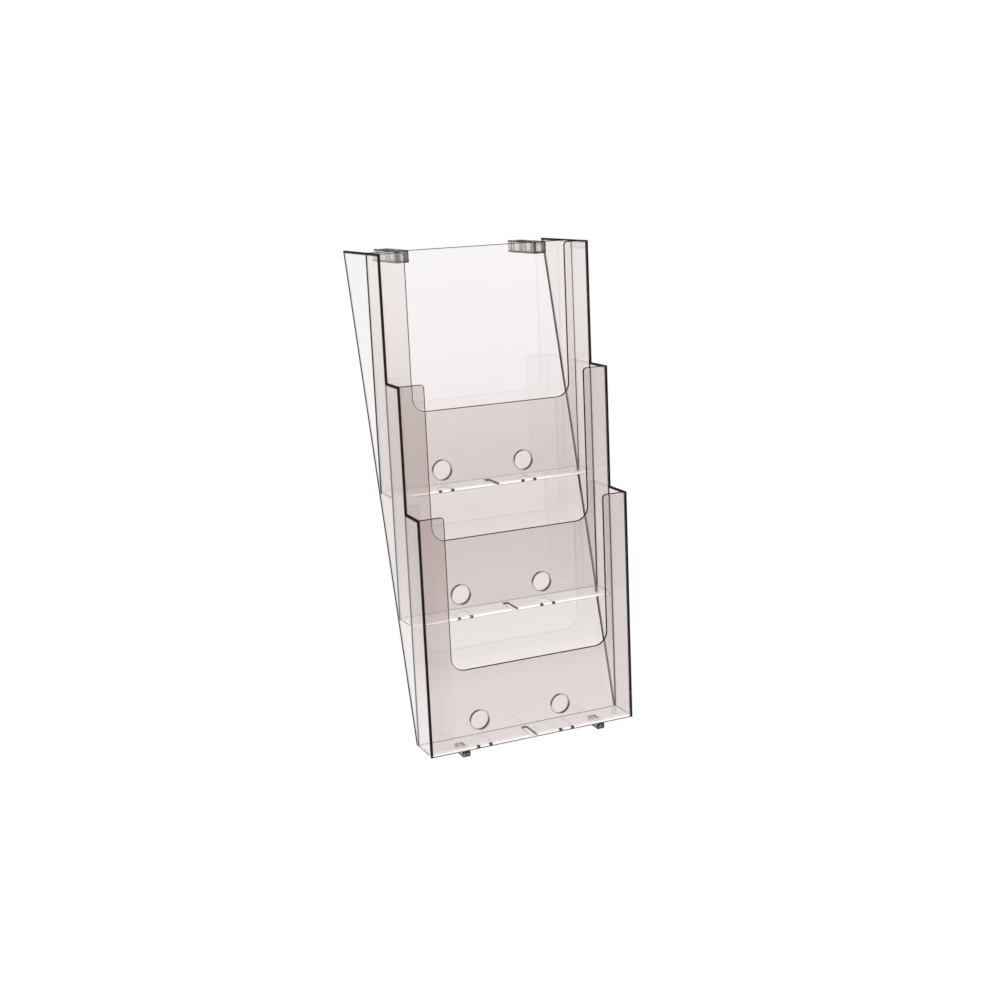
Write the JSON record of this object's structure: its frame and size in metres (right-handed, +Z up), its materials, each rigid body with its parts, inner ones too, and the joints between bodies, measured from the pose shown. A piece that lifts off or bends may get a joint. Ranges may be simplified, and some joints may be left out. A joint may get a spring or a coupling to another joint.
{
  "type": "brochure rack",
  "caption": "Clear wall-mounted brochure rack with three stepped A4 pockets, cut-out fronts, slotted floors and feet and sockets for linking racks in a column.",
  "frame": {"origin": "midway between the lower ends of the two rear edges, on the wall plane", "axes": "+Z up the wall, +Y into the wall, +X to the viewer's right as the viewer faces the rack; the pockets face -Y and lean forward 15.3 degrees"},
  "size_m": [0.23, 0.1048, 0.5334],
  "materials": {
    "clear_panels": "polished crystal polystyrene sheet, faintly warm grey",
    "clear_sides": "polished crystal polystyrene sheet, faintly warm grey",
    "clear_floors": "polished crystal polystyrene sheet, faintly warm grey",
    "clear_fittings": "polished crystal polystyrene, faintly warm grey"
  },
  "bodies": {
    "root": {"left_side": "clear_sides", "right_side": "clear_sides", "back_panel": "clear_panels", "upper_front_panel": "clear_panels", "middle_front_panel": "clear_panels", "lower_front_panel": "clear_panels", "upper_floor": "clear_floors", "middle_floor": "clear_floors", "lower_floor": "clear_floors", "left_link_socket": "clear_fittings", "right_link_socket": "clear_fittings", "left_link_foot": "clear_fittings", "right_link_foot": "clear_fittings"}
  },
  "joints": []
}
